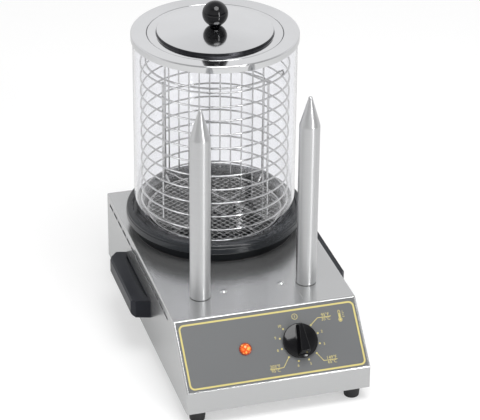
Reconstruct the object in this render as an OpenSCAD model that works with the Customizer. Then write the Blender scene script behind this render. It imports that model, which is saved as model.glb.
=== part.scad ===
// Countertop hot dog steamer with two heated bun spikes.
// Origin at the middle of the footprint, on the surface that the feet stand on.
// +X is the user's right, -Y is the control side, +Z is up.

/* [Casing] */
// Width of the folded casing
body_w = 225; // [200:1:300]
// Depth of the casing from the rear panel to the front skirt
body_d = 391; // [350:1:480]
// Height of the casing above the feet
body_h = 90; // [75:1:120]
// Horizontal run of the sloping control face
slope_run = 62.5; // [50:0.5:80]
// Height of the upright skirt under the control face
skirt_h = 28.5; // [20:0.5:40]
// Thickness of the stainless sheet
sheet_t = 1.2; // [0.8:0.1:2]
// Radius of the folded edges
bend_r = 2.4; // [1.5:0.1:4]
// Width of the turned-in flanges that carry the rear panel and the base plate
flange_w = 10; // [8:0.5:14]

/* [Ventilation] */
// Number of slots in each side
vent_count = 13; // [6:1:18]
// Height of one slot
vent_h = 4.2; // [1.2:0.1:6]
// Bridge between two slots
vent_bridge = 3.7; // [2:0.1:8]
// Drop of the slot row below the top plate
vent_drop = 10.4; // [8:0.1:16]

/* [Feet] */
// Height of a rubber foot
foot_h = 18; // [10:0.5:30]
// Radius of a rubber foot at its shoulder
foot_r = 10.5; // [7:0.5:14]
// Distance of a foot's centre from the side of the casing
foot_inset = 17; // [15:0.5:30]

/* [Glass cylinder] */
// Outer radius of the glass
glass_r = 100; // [80:0.5:125]
// Wall of the glass
glass_wall = 2.8; // [2:0.1:5]
// Height of the glass, from its foot to its ground rim
glass_h = 236; // [180:1:300]
// Radius by which the glass draws in at its foot
glass_tuck = 9; // [4:0.5:10]

/* [Water bowl] */
// Height of the bowl rim above the top plate
rim_h = 27; // [21:0.5:40]
// Depth of the bowl below the top plate
well_depth = 42; // [25:0.5:48]
// Wall of the bowl
bowl_wall = 2.5; // [1.5:0.1:4]
// Distance of the jar's axis from the rear of the casing
jar_back = 109.2; // [90:0.1:150]

/* [Basket] */
// Diameter of the ring wire
wire_d = 2.2; // [1.6:0.1:3]
// Diameter of the upright wire
upright_d = 2.8; // [2:0.1:4]
// Number of rings around the basket
ring_count = 11; // [6:1:14]
// Clearance between the basket and the glass
basket_gap = 5.4; // [3:0.1:12]
// Number of wires in the partition
bar_count = 10; // [4:2:14]
// Angle of the partition, seen from above
divider_angle = -60; // [-90:1:90]

/* [Lid] */
// Radius of the lid's flange beyond the glass
lid_over = 2.2; // [0.3:0.1:6]
// Height of the dome's crown above the glass rim
lid_rise = 9.5; // [6:0.5:20]
// Diameter of the ball knob
ball_d = 30; // [20:0.5:40]
// Sheet of the lid
lid_t = 0.9; // [0.6:0.1:1.5]

/* [Bun spikes] */
// Radius of a spike
spike_r = 12.4; // [8:0.1:16]
// Height of a spike above the top plate
spike_h = 247; // [150:1:280]
// Length of the pointed end
spike_tip = 37; // [20:1:60]
// Distance between the two spikes
spike_pitch = 132; // [90:1:170]
// Distance of the spikes in front of the jar's axis
spike_ahead = 171; // [140:1:200]

/* [Carrying handles] */
// Length of a handle
handle_len = 124; // [100:1:160]
// How far a handle stands out
handle_out = 24; // [18:0.5:32]
// Height of a handle
handle_h = 25; // [20:0.5:32]

/* [Controls] */
// Radius of the thermostat knob
knob_r = 21; // [15:0.5:24]
// Distance of the knob's axis and the lamp from the middle
control_x = 33.5; // [25:0.5:60]
// Radius of the pilot lamp's lens
lamp_r = 7.6; // [5:0.1:10]

/* [Clearances] */
// Gap between pieces that lift off one another
seat_gap = 0.3; // [0.2:0.05:0.5]
// Radial gap of the thermostat spindle in its bush
spindle_gap = 0.08; // [0.03:0.01:0.1]
// Radial gap of a screw in its hole
screw_gap = 0.3; // [0.1:0.05:0.5]

/* [Hidden] */

$fn = 48;
eps = 0.01;

top_z = foot_h + body_h;
floor_z = foot_h;

// the casing grows when the bowl or the spikes ask for more room
rim_r = glass_r + 10.5;
half_w = max(body_w / 2, rim_r + 2);
side_in = half_w - sheet_t;
back_room = max(jar_back, rim_r - 1.3);
ahead = max(spike_ahead, rim_r + spike_r + 20);
depth = max(body_d, back_room + ahead + spike_r + 6 + slope_run);
rear_out = 3;
front_y = -(depth + rear_out) / 2;
back_y = front_y + depth;
jar_y = back_y - back_room;
spike_y = jar_y - ahead;
slope_top_y = front_y + slope_run;
skirt_z = floor_z + skirt_h;
slope_drop = top_z - skirt_z;
slope_angle = atan2(slope_drop, slope_run);
slope_len = sqrt(slope_run * slope_run + slope_drop * slope_drop);

// bowl and glass
ledge_z = top_z + rim_h - 3;
glass_foot_r = glass_r - glass_tuck;
glass_z = ledge_z + seat_gap;
glass_top = glass_z + glass_h;
glass_in = glass_r - glass_wall;
rim_lip_r = glass_r + 2.2;
bowl_body_r = glass_r + 1.6;
bowl_neck_r = bowl_body_r - 3;
bowl_hole_r = bowl_neck_r + 0.4;
gasket_t = 1;
rim_band = 12.5;
ledge_in_r = glass_foot_r - glass_wall - 0.8;
step_z = top_z + rim_h - 9.5;
step_in_r = ledge_in_r - 9.4;
well_r = step_in_r - 1.2;
well_z = top_z - well_depth;
well_floor_r = well_r - 14;

// basket
basket_r = glass_in - basket_gap - wire_d / 2;
floor_ring_r = ledge_in_r - wire_d / 2 - 2.6;
mesh_t = 1.2;
basket_floor_z = step_z + 2 * seat_gap + 1.5 * wire_d + mesh_t / 2;
ring_top_z = glass_top - 36.1;
ring_low_z = ledge_z + 15;
ring_pitch = (ring_top_z - ring_low_z) / (ring_count - 1);
upright_r = basket_r - wire_d / 2 - upright_d / 2 - 0.05;
upright_low_r = min(upright_r, floor_ring_r - wire_d / 2 - upright_d / 2 - 0.05);
bar_d = wire_d * 0.9;
bar_pitch = 2 * upright_r / (bar_count - 1);
divider_low_z = ring_low_z + 1;
bail_wire = 2.4;
bail_r = basket_r - wire_d / 2 - bail_wire / 2 - 4;
bail_z = ring_top_z + max(bar_d, wire_d) / 2 + bail_wire / 2 + 0.4;
bail_axis = divider_angle + 19;
frame_x = 4.5 * 18 / 90.7 * basket_r;
frame_top = ring_top_z + 7;

// lid
lid_r = glass_r + lid_over;
lid_seat = glass_top + seat_gap;
plug_r = glass_in - 2.6;
plug_drop = 6;
crown_z = lid_seat + lid_t + lid_rise;
ball_neck = 1.2;
ball_z = crown_z + ball_neck + ball_d / 2 - 0.6;

// controls, in the slope's own frame: X across, Y up the slope, Z outwards
panel_t = 0.8;
panel_margin = 1.6;
control_v = slope_len - 44.8;
spindle_r = 3;
bush_r = 5;
knob_h = 20;

// spikes
spike_wall = 2.2;
spike_thread_r = 7;
nut_h = 6;

// handles
handle_y = jar_y - 52;
handle_top = top_z - 31;
handle_z = handle_top - handle_h;
pocket_end = 14;
handle_screw_pitch = handle_len - pocket_end;
screw_r = 2;

foot_edge = max(foot_inset, sheet_t + flange_w + 5.2);
foot_xs = half_w - foot_edge;
foot_front = front_y + foot_edge;
foot_rear = back_y - foot_edge;

function arc(cx, cy, r, a0, a1, n) = [for (i = [0:n]) let (a = a0 + (a1 - a0) * i / n)
    [cx + r * cos(a), cy + r * sin(a)]];

// side outline of the casing, drawn in by d on its top, front and rear; a is the slope angle
function casing_outline(d, low, rear) = let (
        r = max(bend_r - d, 0.2),
        q = slope_angle,
        back = back_y - rear,
        top = top_z - d,
        // where the drawn-in slope meets the drawn-in top and skirt
        ty = slope_top_y + d * tan(q / 2),
        sz = skirt_z - d * tan((90 - q) / 2),
        fy = front_y + d
    ) concat(
        [[back, low], [back, top]],
        arc(ty + r * tan(q / 2), top - r, r, 90, 90 + q, 5),
        arc(fy + r, sz - r * tan((90 - q) / 2), r, 90 + q, 180, 5),
        [[fy, low]]
    );

module along_x(w) {
    rotate([90, 0, 90]) translate([0, 0, -w / 2]) linear_extrude(height = w) children();
}

module on_slope(x = 0, y = 0, z = 0) {
    translate([0, front_y, skirt_z]) rotate([slope_angle, 0, 0]) translate([x, y, z]) children();
}

module at_jar() {
    translate([0, jar_y, 0]) children();
}

module both_sides() {
    children();
    mirror([1, 0, 0]) children();
}

module tube(r_out, r_in, h) {
    difference() {
        cylinder(r = r_out, h = h);
        translate([0, 0, -1]) cylinder(r = r_in, h = h + 2);
    }
}

module ring_wire(radius, d) {
    rotate_extrude() translate([radius, 0]) circle(d = d);
}

// body of a round wire between two points
module rod(p, q, d) {
    v = q - p;
    len = norm(v);
    tilt = acos(v[2] / len);
    turn = atan2(v[1], v[0]);
    translate(p) rotate([0, tilt, turn]) cylinder(d = d, h = len);
}

// ---------------------------------------------------------------- casing

module vent_slots() {
    row = depth - slope_run - 34;
    pitch = (row + vent_bridge) / vent_count;
    for (i = [0:vent_count - 1])
        translate([-half_w - 1, back_y - 12 - (i + 1) * pitch + vent_bridge,
            top_z - vent_drop - vent_h / 2])
            cube([2 * half_w + 2, pitch - vent_bridge, vent_h]);
}

module casing() color("silver") difference() {
    union() {
        difference() {
            along_x(2 * half_w) polygon(casing_outline(0, floor_z, 0));
            along_x(2 * side_in) polygon(casing_outline(sheet_t, floor_z - 5, -5));
        }
        // turned-in flanges: base plate on three sides, rear panel on three sides
        both_sides() {
            translate([side_in - flange_w, front_y + sheet_t, floor_z + sheet_t])
                cube([flange_w, depth - 5 * sheet_t, sheet_t]);
            translate([side_in - flange_w, back_y - 2 * sheet_t, floor_z + 2 * sheet_t])
                cube([flange_w, sheet_t, body_h - 3 * sheet_t]);
        }
        translate([-side_in + flange_w, front_y + sheet_t, floor_z + sheet_t])
            cube([2 * (side_in - flange_w), flange_w, sheet_t]);
        translate([-side_in + flange_w, back_y - 2 * sheet_t, top_z - sheet_t - flange_w])
            cube([2 * (side_in - flange_w), sheet_t, flange_w]);
    }
    at_jar() translate([0, 0, top_z - 5]) cylinder(r = bowl_hole_r, h = 10, $fn = 96);
    both_sides() translate([spike_pitch / 2, spike_y, top_z - 5])
        cylinder(r = spike_thread_r + screw_gap, h = 10);
    both_sides() translate([rivet_x, rivet_y, top_z - 5]) cylinder(r = rivet_r + 0.1, h = 10);
    on_slope(control_x, control_v, -5) cylinder(r = bush_r + screw_gap, h = 10);
    on_slope(-control_x, control_v, -5) cylinder(r = lamp_neck_r + screw_gap, h = 10);
    vent_slots();
    for (y = [-1, 1]) translate([0, handle_y + y * handle_screw_pitch / 2, handle_z + handle_h / 2])
        rotate([0, 90, 0]) translate([0, 0, -half_w - 5])
            cylinder(r = screw_r + screw_gap, h = 2 * half_w + 10);
    rear_screw_spots() rotate([90, 0, 0]) cylinder(r = screw_r + screw_gap, h = 10, center = true);
    base_screw_spots() cylinder(r = screw_r + screw_gap, h = 10, center = true);
}

rivet_x = 36;
rivet_y = spike_y + 3;
rivet_r = 2;
lamp_neck_r = lamp_r - 1.6;

module rear_screw_spots() {
    for (x = [-1, 1], z = [floor_z + 16, top_z - 16])
        translate([x * (side_in - flange_w / 2), back_y - sheet_t, z]) children();
}

module base_screw_spots() {
    for (x = [-1, 1], y = [front_y + 60, 0, back_y - 60])
        translate([x * (side_in - flange_w / 2), y, floor_z + sheet_t]) children();
}

module rear_panel() color("silver") difference() {
    translate([-side_in + 0.2, back_y - sheet_t, floor_z + sheet_t])
        cube([2 * side_in - 0.4, sheet_t, body_h - 2 * sheet_t - 0.2]);
    translate([gland_x, back_y, gland_z]) rotate([90, 0, 0])
        cylinder(r = gland_r + screw_gap, h = 10, center = true);
    rear_screw_spots() rotate([90, 0, 0]) cylinder(r = screw_r + screw_gap, h = 10, center = true);
    // air slots
    for (i = [0:7]) translate([-50 + i * 14, back_y - 5, top_z - 30]) cube([3, 10, 16]);
}

module base_plate() color("silver") difference() {
    translate([-side_in + 0.2, front_y + sheet_t + 0.2, floor_z])
        cube([2 * side_in - 0.4, depth - sheet_t - 0.2, sheet_t]);
    foot_spots() cylinder(r = screw_r + screw_gap, h = 20, center = true);
    base_screw_spots() cylinder(r = screw_r + screw_gap, h = 10, center = true);
    // air slots under the heater
    for (i = [0:8]) translate([-52 + i * 12, jar_y - 30, floor_z - 5]) cube([4, 60, 10]);
}

module control_panel() color("dimgray") on_slope() difference() {
    translate([-half_w + panel_margin + 1, panel_margin, 0])
        cube([2 * half_w - 2 * panel_margin - 2, slope_len - 2 * panel_margin, panel_t]);
    translate([control_x, control_v, -1]) cylinder(r = bush_r + screw_gap, h = 5);
    translate([-control_x, control_v, -1]) cylinder(r = lamp_neck_r + screw_gap, h = 5);
}

// ---------------------------------------------------------------- water bowl and heater

module bowl() color("dimgray") at_jar() difference() {
    union() {
        rotate_extrude($fn = 96) polygon(concat(
            // outside, from the underside of the well up to the rim
            [[0, well_z - bowl_wall], [well_floor_r, well_z - bowl_wall]],
            arc(well_r + bowl_wall - 14, well_z - bowl_wall + 14, 14, -70, 0, 5),
            [[well_r + bowl_wall, top_z - 12], [bowl_neck_r, top_z - 6],
            [bowl_neck_r, top_z + gasket_t], [bowl_body_r, top_z + gasket_t],
            [bowl_body_r + 0.6, top_z + rim_h - rim_band - 1.5],
            [rim_r - 1.4, top_z + rim_h - rim_band]],
            [[rim_r, top_z + rim_h - rim_band + 1.6], [rim_r, top_z + rim_h - 3.4],
            [rim_r - 0.7, top_z + rim_h - 3.0], [rim_r - 0.7, top_z + rim_h - 2.4]],
            arc(rim_r - 2.2, top_z + rim_h - 1.9, 1.9, 0, 90, 4),
            arc(rim_lip_r + 1.8, top_z + rim_h - 1.8, 1.8, 90, 180, 4),
            // inside: down to the ledge, then the well
            [[rim_lip_r, ledge_z + 0.8], [rim_lip_r - 1.2, ledge_z], [ledge_in_r + 0.4, ledge_z],
            [ledge_in_r, ledge_z - 0.6], [ledge_in_r, step_z], [step_in_r, step_z],
            [well_r, step_z - 1.5]],
            arc(well_r - 12, well_z + 12, 12, 0, -90, 6),
            [[0, well_z]]));
        // threaded stud for the heater
        translate([0, 0, stud_z]) cylinder(r = 3, h = well_z - bowl_wall - stud_z + eps);
    }
    // the casting is hollow under its ledge
    rotate_extrude($fn = 96) polygon([
        [well_r + bowl_wall + 0.2, top_z - 30], [bowl_neck_r - bowl_wall, top_z - 30],
        [bowl_neck_r - bowl_wall, top_z + 1], [bowl_body_r - bowl_wall, top_z + 3],
        [bowl_body_r - bowl_wall, ledge_z - bowl_wall - 1], [ledge_in_r + bowl_wall, ledge_z - bowl_wall - 1],
        [ledge_in_r + bowl_wall, step_z - bowl_wall], [well_r + bowl_wall + 0.2, step_z - bowl_wall]]);
}

spreader_t = 4;
element_d = 8;
spreader_z = well_z - bowl_wall - spreader_t;
element_r = min(42, well_floor_r - 14);
element_z = spreader_z - 0.3 - element_d / 2;
clamp_z = element_z - element_d / 2 - 0.3 - 2;
heater_nut_z = clamp_z - 5;
stud_z = heater_nut_z - 2;

module bowl_gasket() color("black") at_jar() translate([0, 0, top_z])
    tube(bowl_body_r - 0.3, bowl_hole_r + 0.2, gasket_t, $fn = 96);

module bowl_retaining_ring() color("silver") at_jar() translate([0, 0, top_z - sheet_t - 3])
    tube(min(bowl_hole_r + 6, side_in - 2), bowl_neck_r + 0.05, 3, $fn = 96);

module heat_spreader() color("silver") at_jar() translate([0, 0, spreader_z])
    tube(well_floor_r - 2, 3.3, spreader_t);

module heating_element() color("dimgray") at_jar() {
    translate([0, 0, element_z]) rotate([0, 0, -60])
        rotate_extrude(angle = 300) translate([element_r, 0]) circle(d = element_d);
    for (a = [-52, 232]) rotate([0, 0, a]) translate([element_r, 0, element_z - 14])
        cylinder(d = element_d - 2, h = 14);
}

module heater_clamp() color("silver") at_jar() translate([0, 0, clamp_z]) difference() {
    union() {
        translate([-10, -element_r - 6, 0]) cube([20, 2 * element_r + 12, 2]);
        translate([-element_r * 0.7, -10, 0]) cube([element_r * 1.4, 20, 2]);
    }
    translate([0, 0, -1]) cylinder(r = 3.3, h = 5);
}

module hex_nut(across, bore_r, h) {
    difference() {
        cylinder(r = across / 2 / cos(30), h = h, $fn = 6);
        translate([0, 0, -1]) cylinder(r = bore_r, h = h + 2, $fn = 32);
    }
}

module heater_nut() color("silver") at_jar() translate([0, 0, heater_nut_z])
    hex_nut(10, 3.05, 5);

// ---------------------------------------------------------------- glass cylinder

tuck_h = 20;

module glass_cylinder() color("lightblue", 0.35) at_jar() translate([0, 0, glass_z])
    rotate_extrude($fn = 128) polygon(concat(
        [for (i = [0:8]) let (a = 90 * i / 8)
            [glass_foot_r + glass_tuck * sin(a), tuck_h * (1 - cos(a))]],
        [[glass_r, glass_h - 0.8], [glass_r - 0.8, glass_h],
        [glass_in + 0.8, glass_h], [glass_in, glass_h - 0.8]],
        [for (i = [8:-1:0]) let (a = 90 * i / 8)
            [glass_foot_r - glass_wall + glass_tuck * sin(a), tuck_h * (1 - cos(a))]]));

// ---------------------------------------------------------------- lid

step_r = glass_r * 0.7;
groove_r = glass_r * 0.82;

module lid_shell() color("gainsboro") at_jar() translate([0, 0, lid_seat]) {
    rotate_extrude($fn = 128) polygon(concat(
        [[lid_bore, lid_rise], [step_r * 0.5, lid_rise * 0.82], [step_r - 2, lid_step - lid_t],
        [step_r, -0.6 + lid_t], [groove_r - 1, -0.4 + lid_t], [groove_r - 1, lid_t * 0.4],
        [plug_r - lid_t, lid_t * 0.4],
        [plug_r - lid_t, -plug_drop], [plug_r, -plug_drop], [plug_r, 0],
        [lid_r - 0.6, 0], [lid_r, 0.6], [lid_r, 1.5], [lid_r - 0.6, 2.1],
        [groove_r + 1.4, lid_t + 0.6], [groove_r, lid_t + 0.2],
        [groove_r - 1.4, lid_t + 0.5], [step_r + 1.2, lid_t + 0.3],
        [step_r - 0.6, lid_step], [step_r * 0.5, lid_rise * 0.82 + lid_t],
        [lid_bore, lid_rise + lid_t]]));
}

lid_step = 3.6;
lid_bore = 2.7;

module lid_gasket() color("ivory") at_jar() translate([0, 0, lid_seat - plug_drop + 0.4])
    tube(glass_in - 0.5, plug_r + 0.05, plug_drop - 0.5, $fn = 96);

module lid_knob() color("black") at_jar() translate([0, 0, crown_z]) difference() {
    rotate_extrude($fn = 64) polygon(concat(
        [[0, 0], [6, 0], [6.2, 0.9]],
        arc(0, ball_neck + ball_d / 2 - 0.6, ball_d / 2, -62, 90, 20)));
    translate([0, 0, -1]) cylinder(r = 2.5, h = 13, $fn = 32);
}

module lid_screw() color("silver") at_jar() translate([0, 0, lid_seat + lid_rise - 3]) union() {
    translate([0, 0, -0.4]) cylinder(r = 5, h = 3.2, $fn = 32);
    cylinder(r = 2.4, h = 3 + lid_t + 11, $fn = 32);
}

// ---------------------------------------------------------------- basket

module basket_rings() color("gainsboro") at_jar()
    for (i = [0:ring_count - 1]) translate([0, 0, ring_top_z - i * ring_pitch])
        ring_wire(basket_r, wire_d, $fn = 64);

// uprights: four, crooked inwards under the lowest ring to stand inside the floor ring
module basket_uprights() color("gainsboro") at_jar()
    for (k = [0:3]) rotate([0, 0, divider_angle + 90 * k]) {
        translate([upright_r, 0, ring_low_z - 6]) cylinder(d = upright_d,
            h = ring_top_z - ring_low_z + 7);
        rod([upright_low_r, 0, basket_floor_z + 4], [upright_r, 0, ring_low_z - 4], 0.94 * upright_d);
        translate([upright_low_r, 0, step_z + seat_gap]) cylinder(d = upright_d,
            h = basket_floor_z - step_z + 6);
    }

// partition: upright wires between two cross wires, the outer two bent over at the top
module basket_partition() color("gainsboro") at_jar() rotate([0, 0, divider_angle]) {
    reach = upright_r - upright_d / 2 - 0.05;
    pitch = 2 * frame_x / (bar_count - 1);
    union() {
        for (i = [0:bar_count - 1]) translate([-frame_x + i * pitch, 0, ring_low_z])
            cylinder(d = bar_d, h = frame_top - ring_low_z);
        translate([-reach, 0, ring_low_z + 1]) rotate([0, 90, 0])
            cylinder(d = 0.94 * bar_d, h = 2 * reach);
        translate([-reach, 0, ring_top_z]) rotate([0, 90, 0])
            cylinder(d = 0.94 * bar_d, h = 2 * reach);
        translate([-frame_x - bar_d / 2, 0, frame_top]) rotate([0, 90, 0])
            cylinder(d = 1.08 * bar_d, h = 2 * frame_x + bar_d);
    }
}

// expanded-metal floor: one sheet with diamond openings, clear of the uprights
mesh_long = 26;
mesh_short = 13;
mesh_strand = 2.4;
floor_r = floor_ring_r - wire_d / 2 - 0.1;
floor_open_r = upright_low_r - upright_d / 2 - 2;

function diamond(x, y) = let (a = mesh_long / 2 - mesh_strand, b = mesh_short / 2 - mesh_strand * 0.6)
    [[x + a, y], [x, y + b], [x - a, y], [x, y - b]];

module basket_floor() color("darkgray") at_jar() translate([0, 0, basket_floor_z - mesh_t]) {
    n_x = ceil(floor_r / mesh_long);
    n_y = ceil(2 * floor_r / mesh_short);
    spots = [for (j = [-n_y:n_y], i = [-n_x - 1:n_x])
        let (x = i * mesh_long + (j % 2 == 0 ? 0 : mesh_long / 2), y = j * mesh_short / 2)
        if (norm([abs(x) + mesh_long / 2 - mesh_strand, y]) < floor_open_r) [x, y]];
    rim = arc(0, 0, floor_r, 0, 355, 71);
    holes = [for (s = spots) for (p = diamond(s[0], s[1])) p];
    difference() {
        rotate([0, 0, 8]) linear_extrude(height = mesh_t) polygon(
            points = concat(rim, holes),
            paths = concat([[for (i = [0:len(rim) - 1]) i]],
                [for (k = [0:len(spots) - 1]) [for (i = [0:3]) len(rim) + 4 * k + i]]));
        for (k = [0:3]) rotate([0, 0, divider_angle + 90 * k])
            translate([upright_low_r, 0, -1]) cylinder(d = upright_d + 0.6, h = 5);
    }
}

module basket_floor_ring() color("gainsboro") at_jar()
    translate([0, 0, basket_floor_z - mesh_t / 2]) ring_wire(floor_ring_r, wire_d, $fn = 64);

// two wires under the floor, crossing in the middle, whose ends rest in the bowl
module basket_floor_wires() color("gainsboro") at_jar()
    translate([0, 0, basket_floor_z - mesh_t / 2 - wire_d - 0.02]) {
        for (w = [[36, 1], [114, 0.94]]) rotate([0, 0, w[0]]) translate([-ledge_in_r + 0.5, 0, 0])
            rotate([0, 90, 0]) cylinder(d = wire_d * w[1], h = 2 * ledge_in_r - 1);
    }

// two eyes welded inside the top ring that the bail turns in
eye_in = basket_r - wire_d / 2 - 0.1 - 2;

module basket_lugs() color("gainsboro") at_jar() rotate([0, 0, bail_axis]) for (s = [0, 180])
    rotate([0, 0, s]) translate([eye_in, 0, bail_z]) rotate([0, 90, 0]) difference() {
        union() {
            cylinder(r = bail_wire / 2 + 1.8, h = 2, $fn = 32);
            translate([0, -bail_wire / 2 - 1.8, 0])
                cube([bail_z - ring_top_z + wire_d / 2, bail_wire + 3.6, 2]);
        }
        translate([0, 0, -1]) cylinder(r = bail_wire / 2 + 0.1, h = 4, $fn = 32);
    }

// bail: half a hoop that folds down on the front of the top ring
module basket_bail() color("gainsboro") at_jar() rotate([0, 0, bail_axis]) translate([0, 0, bail_z]) {
    rotate([0, 0, 180]) rotate_extrude(angle = 180, $fn = 96) translate([bail_r, 0])
        circle(d = bail_wire, $fn = 32);
    for (s = [0, 180]) rotate([0, 0, s]) translate([bail_r, 0, 0]) {
        sphere(d = bail_wire, $fn = 32);
        rotate([0, 90, 0]) cylinder(d = bail_wire, h = eye_in + 1.8 - bail_r, $fn = 32);
    }
}

// ---------------------------------------------------------------- bun spikes

module spike(x) color("silver") translate([x, spike_y, top_z + spike_seal_t]) difference() {
    union() {
        rotate_extrude($fn = 64) polygon(concat(
            [[0, 0], [spike_r, 0], [spike_r, spike_h - spike_seal_t - spike_tip],
            [spike_r - 0.4, spike_h - spike_seal_t - spike_tip + 1.4]],
            arc(0, spike_h - spike_seal_t - 2.6, 2.6, 16, 90, 4)));
        translate([0, 0, -spike_seal_t - sheet_t - nut_h - 6]) cylinder(r = spike_thread_r, h = 20);
    }
    translate([0, 0, -spike_seal_t - sheet_t - nut_h - 7])
        cylinder(r = cartridge_r + 0.3, h = spike_h - spike_tip);
}

spike_seal_t = 0.6;
cartridge_r = 4.75;

module spike_left() spike(-spike_pitch / 2);
module spike_right() spike(spike_pitch / 2);

module spike_heater(x) color("dimgray") translate([x, spike_y, top_z - sheet_t - nut_h - 9])
    cylinder(r = cartridge_r, h = spike_h - spike_tip - 4);

module spike_heater_left() spike_heater(-spike_pitch / 2);
module spike_heater_right() spike_heater(spike_pitch / 2);

module spike_nuts() color("silver") for (s = [-1, 1])
    translate([s * spike_pitch / 2, spike_y, top_z - sheet_t - nut_h])
        hex_nut(22, spike_thread_r + 0.05, nut_h);

module spike_gaskets() color("white") for (s = [-1, 1])
    translate([s * spike_pitch / 2, spike_y, top_z])
        tube(spike_r - 0.2, spike_thread_r + 0.2, spike_seal_t);

// ---------------------------------------------------------------- handles

// one moulded grip: outer bar, two ends on the wall, finger pocket from below, crescent on top
module handle() difference() {
    intersection() {
        translate([half_w, handle_y - handle_len / 2, handle_z - 1])
            cube([handle_out, handle_len, handle_h + 4]);
        // drawn-in ends
        translate([0, 0, handle_z - 1]) linear_extrude(height = handle_h + 4) polygon([
            [half_w, handle_y - handle_len / 2], [half_w + handle_out - 5, handle_y - handle_len / 2],
            [half_w + handle_out, handle_y - handle_len / 2 + 5],
            [half_w + handle_out, handle_y + handle_len / 2 - pocket_end],
            [half_w + handle_out - 11, handle_y + handle_len / 2],
            [half_w, handle_y + handle_len / 2]]);
        // upper and lower outer edges
        translate([0, handle_y + handle_len / 2 + 1, 0]) rotate([90, 0, 0])
            linear_extrude(height = handle_len + 2) polygon([
                [half_w, handle_z], [half_w + handle_out - 5, handle_z + 3.5],
                [half_w + handle_out - 1.5, handle_z + 5.5], [half_w + handle_out, handle_z + 8],
                [half_w + handle_out, handle_top - 1.5], [half_w + handle_out - 2, handle_top + 1.5],
                [half_w + 10, handle_top + 0.5], [half_w, handle_top - 1]]);
    }
    // finger pocket
    translate([half_w + pocket_wall, handle_y - handle_len / 2 + pocket_end, handle_z - 1])
        cube([handle_out - pocket_wall - 6, handle_len - 2 * pocket_end, handle_h - 6]);
    // crescent recess beside the wall
    intersection() {
        translate([half_w - crescent_r + 8, handle_y, handle_top - 3.5])
            cylinder(r = crescent_r, h = 8, $fn = 96);
        translate([half_w + 1.5, handle_y - handle_len / 2 + 6, handle_top - 4])
            cube([20, handle_len - 12, 9]);
    }
    for (y = [-1, 1]) translate([half_w - 1, handle_y + y * handle_screw_pitch / 2,
        handle_z + handle_h / 2]) rotate([0, 90, 0]) cylinder(r = screw_r - 0.05, h = 13);
}

pocket_wall = 4;
crescent_r = 230;

module handle_left() color("black") mirror([1, 0, 0]) handle();
module handle_right() color("black") handle();

module handle_screws() color("silver") both_sides() for (y = [-1, 1])
    translate([side_in, handle_y + y * handle_screw_pitch / 2, handle_z + handle_h / 2])
        rotate([0, 90, 0]) {
            cylinder(r = screw_r - 0.1, h = 11, $fn = 32);
            translate([0, 0, -2.4]) cylinder(r = 3.6, h = 2.4, $fn = 32);
        }

// ---------------------------------------------------------------- feet

module foot_spots() {
    for (x = [-1, 1], y = [foot_front, foot_rear]) translate([x * foot_xs, y, floor_z]) children();
}

module foot(x, y) color("black") translate([x, y, 0]) difference() {
    rotate_extrude() polygon([[0, 0], [foot_r - 2.6, 0], [foot_r - 1.6, 1], [foot_r, foot_h - 2],
        [foot_r, foot_h], [0, foot_h]]);
    translate([0, 0, -1]) cylinder(r = 4.2, h = foot_h - 7);
    cylinder(r = screw_r + 0.2, h = foot_h + 1);
}

module foot_front_left() foot(-foot_xs, foot_front);
module foot_front_right() foot(foot_xs, foot_front);
module foot_rear_left() foot(-foot_xs, foot_rear);
module foot_rear_right() foot(foot_xs, foot_rear);

module foot_screws() color("silver") foot_spots() {
    translate([0, 0, -10.4]) cylinder(r = 3.6, h = 2.4, $fn = 32);
    translate([0, 0, -9]) cylinder(r = screw_r, h = 9 + sheet_t + 6, $fn = 32);
}

module foot_nuts() color("silver") foot_spots() translate([0, 0, sheet_t])
    hex_nut(7, screw_r + 0.05, 3.2);

// ---------------------------------------------------------------- thermostat and knob

body_side = 38;
body_deep = 22;
bush_deep = 3;

module thermostat_body() color("white") on_slope(control_x, control_v, -sheet_t - bush_deep) difference() {
    union() {
        translate([-body_side / 2, -body_side / 2, -body_deep])
            cube([body_side, body_side, body_deep]);
        for (s = [-1, 1]) translate([s * 12 - 3, -4, -body_deep - 8]) cube([6, 0.8, 8 + eps]);
    }
    translate([0, 0, -13]) cylinder(r = spindle_r + 1, h = 14);
}

module thermostat_bush() color("goldenrod") on_slope(control_x, control_v, -sheet_t - bush_deep)
    difference() {
        union() {
            cylinder(r = 9, h = bush_deep - 0);
            cylinder(r = bush_r, h = bush_deep + sheet_t + panel_t + 3.4);
        }
        translate([0, 0, -1]) cylinder(r = spindle_r + spindle_gap, h = 20);
    }

module thermostat_nut() color("silver") on_slope(control_x, control_v, panel_t)
    hex_nut(14, bush_r + 0.05, 2.4);

module thermostat_spindle() color("silver")
    on_slope(control_x, control_v, -sheet_t - bush_deep - 10)
        cylinder(r = spindle_r, h = 10 + bush_deep + sheet_t + panel_t + 12);

// knob: skirted disc with a raised grip that points at the mark
module control_knob() color("black") on_slope(control_x, control_v, panel_t + 0.6) difference() {
    union() {
        cylinder(r = knob_r, h = 3.6, $fn = 64);
        translate([0, 0, 3.6]) cylinder(r1 = knob_r, r2 = knob_r - 1.6, h = 1.6, $fn = 64);
        intersection() {
            translate([0, 0, 3]) cylinder(r1 = knob_r - 0.5, r2 = knob_r - 3, h = knob_h - 3, $fn = 64);
            linear_extrude(height = knob_h) polygon([[-2.6, knob_r], [2.6, knob_r],
                [7.2, -knob_r], [-7.2, -knob_r]]);
        }
    }
    translate([0, 0, -1]) cylinder(r = 9.5, h = 4.4);
    translate([0, 0, -1]) cylinder(r = spindle_r + 0.02, h = knob_h - 4);
}

// capillary: a thin copper tube from the thermostat to the bulb under the bowl
function on_slope_point(x, y, z) = [x,
    front_y + y * cos(slope_angle) - z * sin(slope_angle),
    skirt_z + y * sin(slope_angle) + z * cos(slope_angle)];

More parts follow.
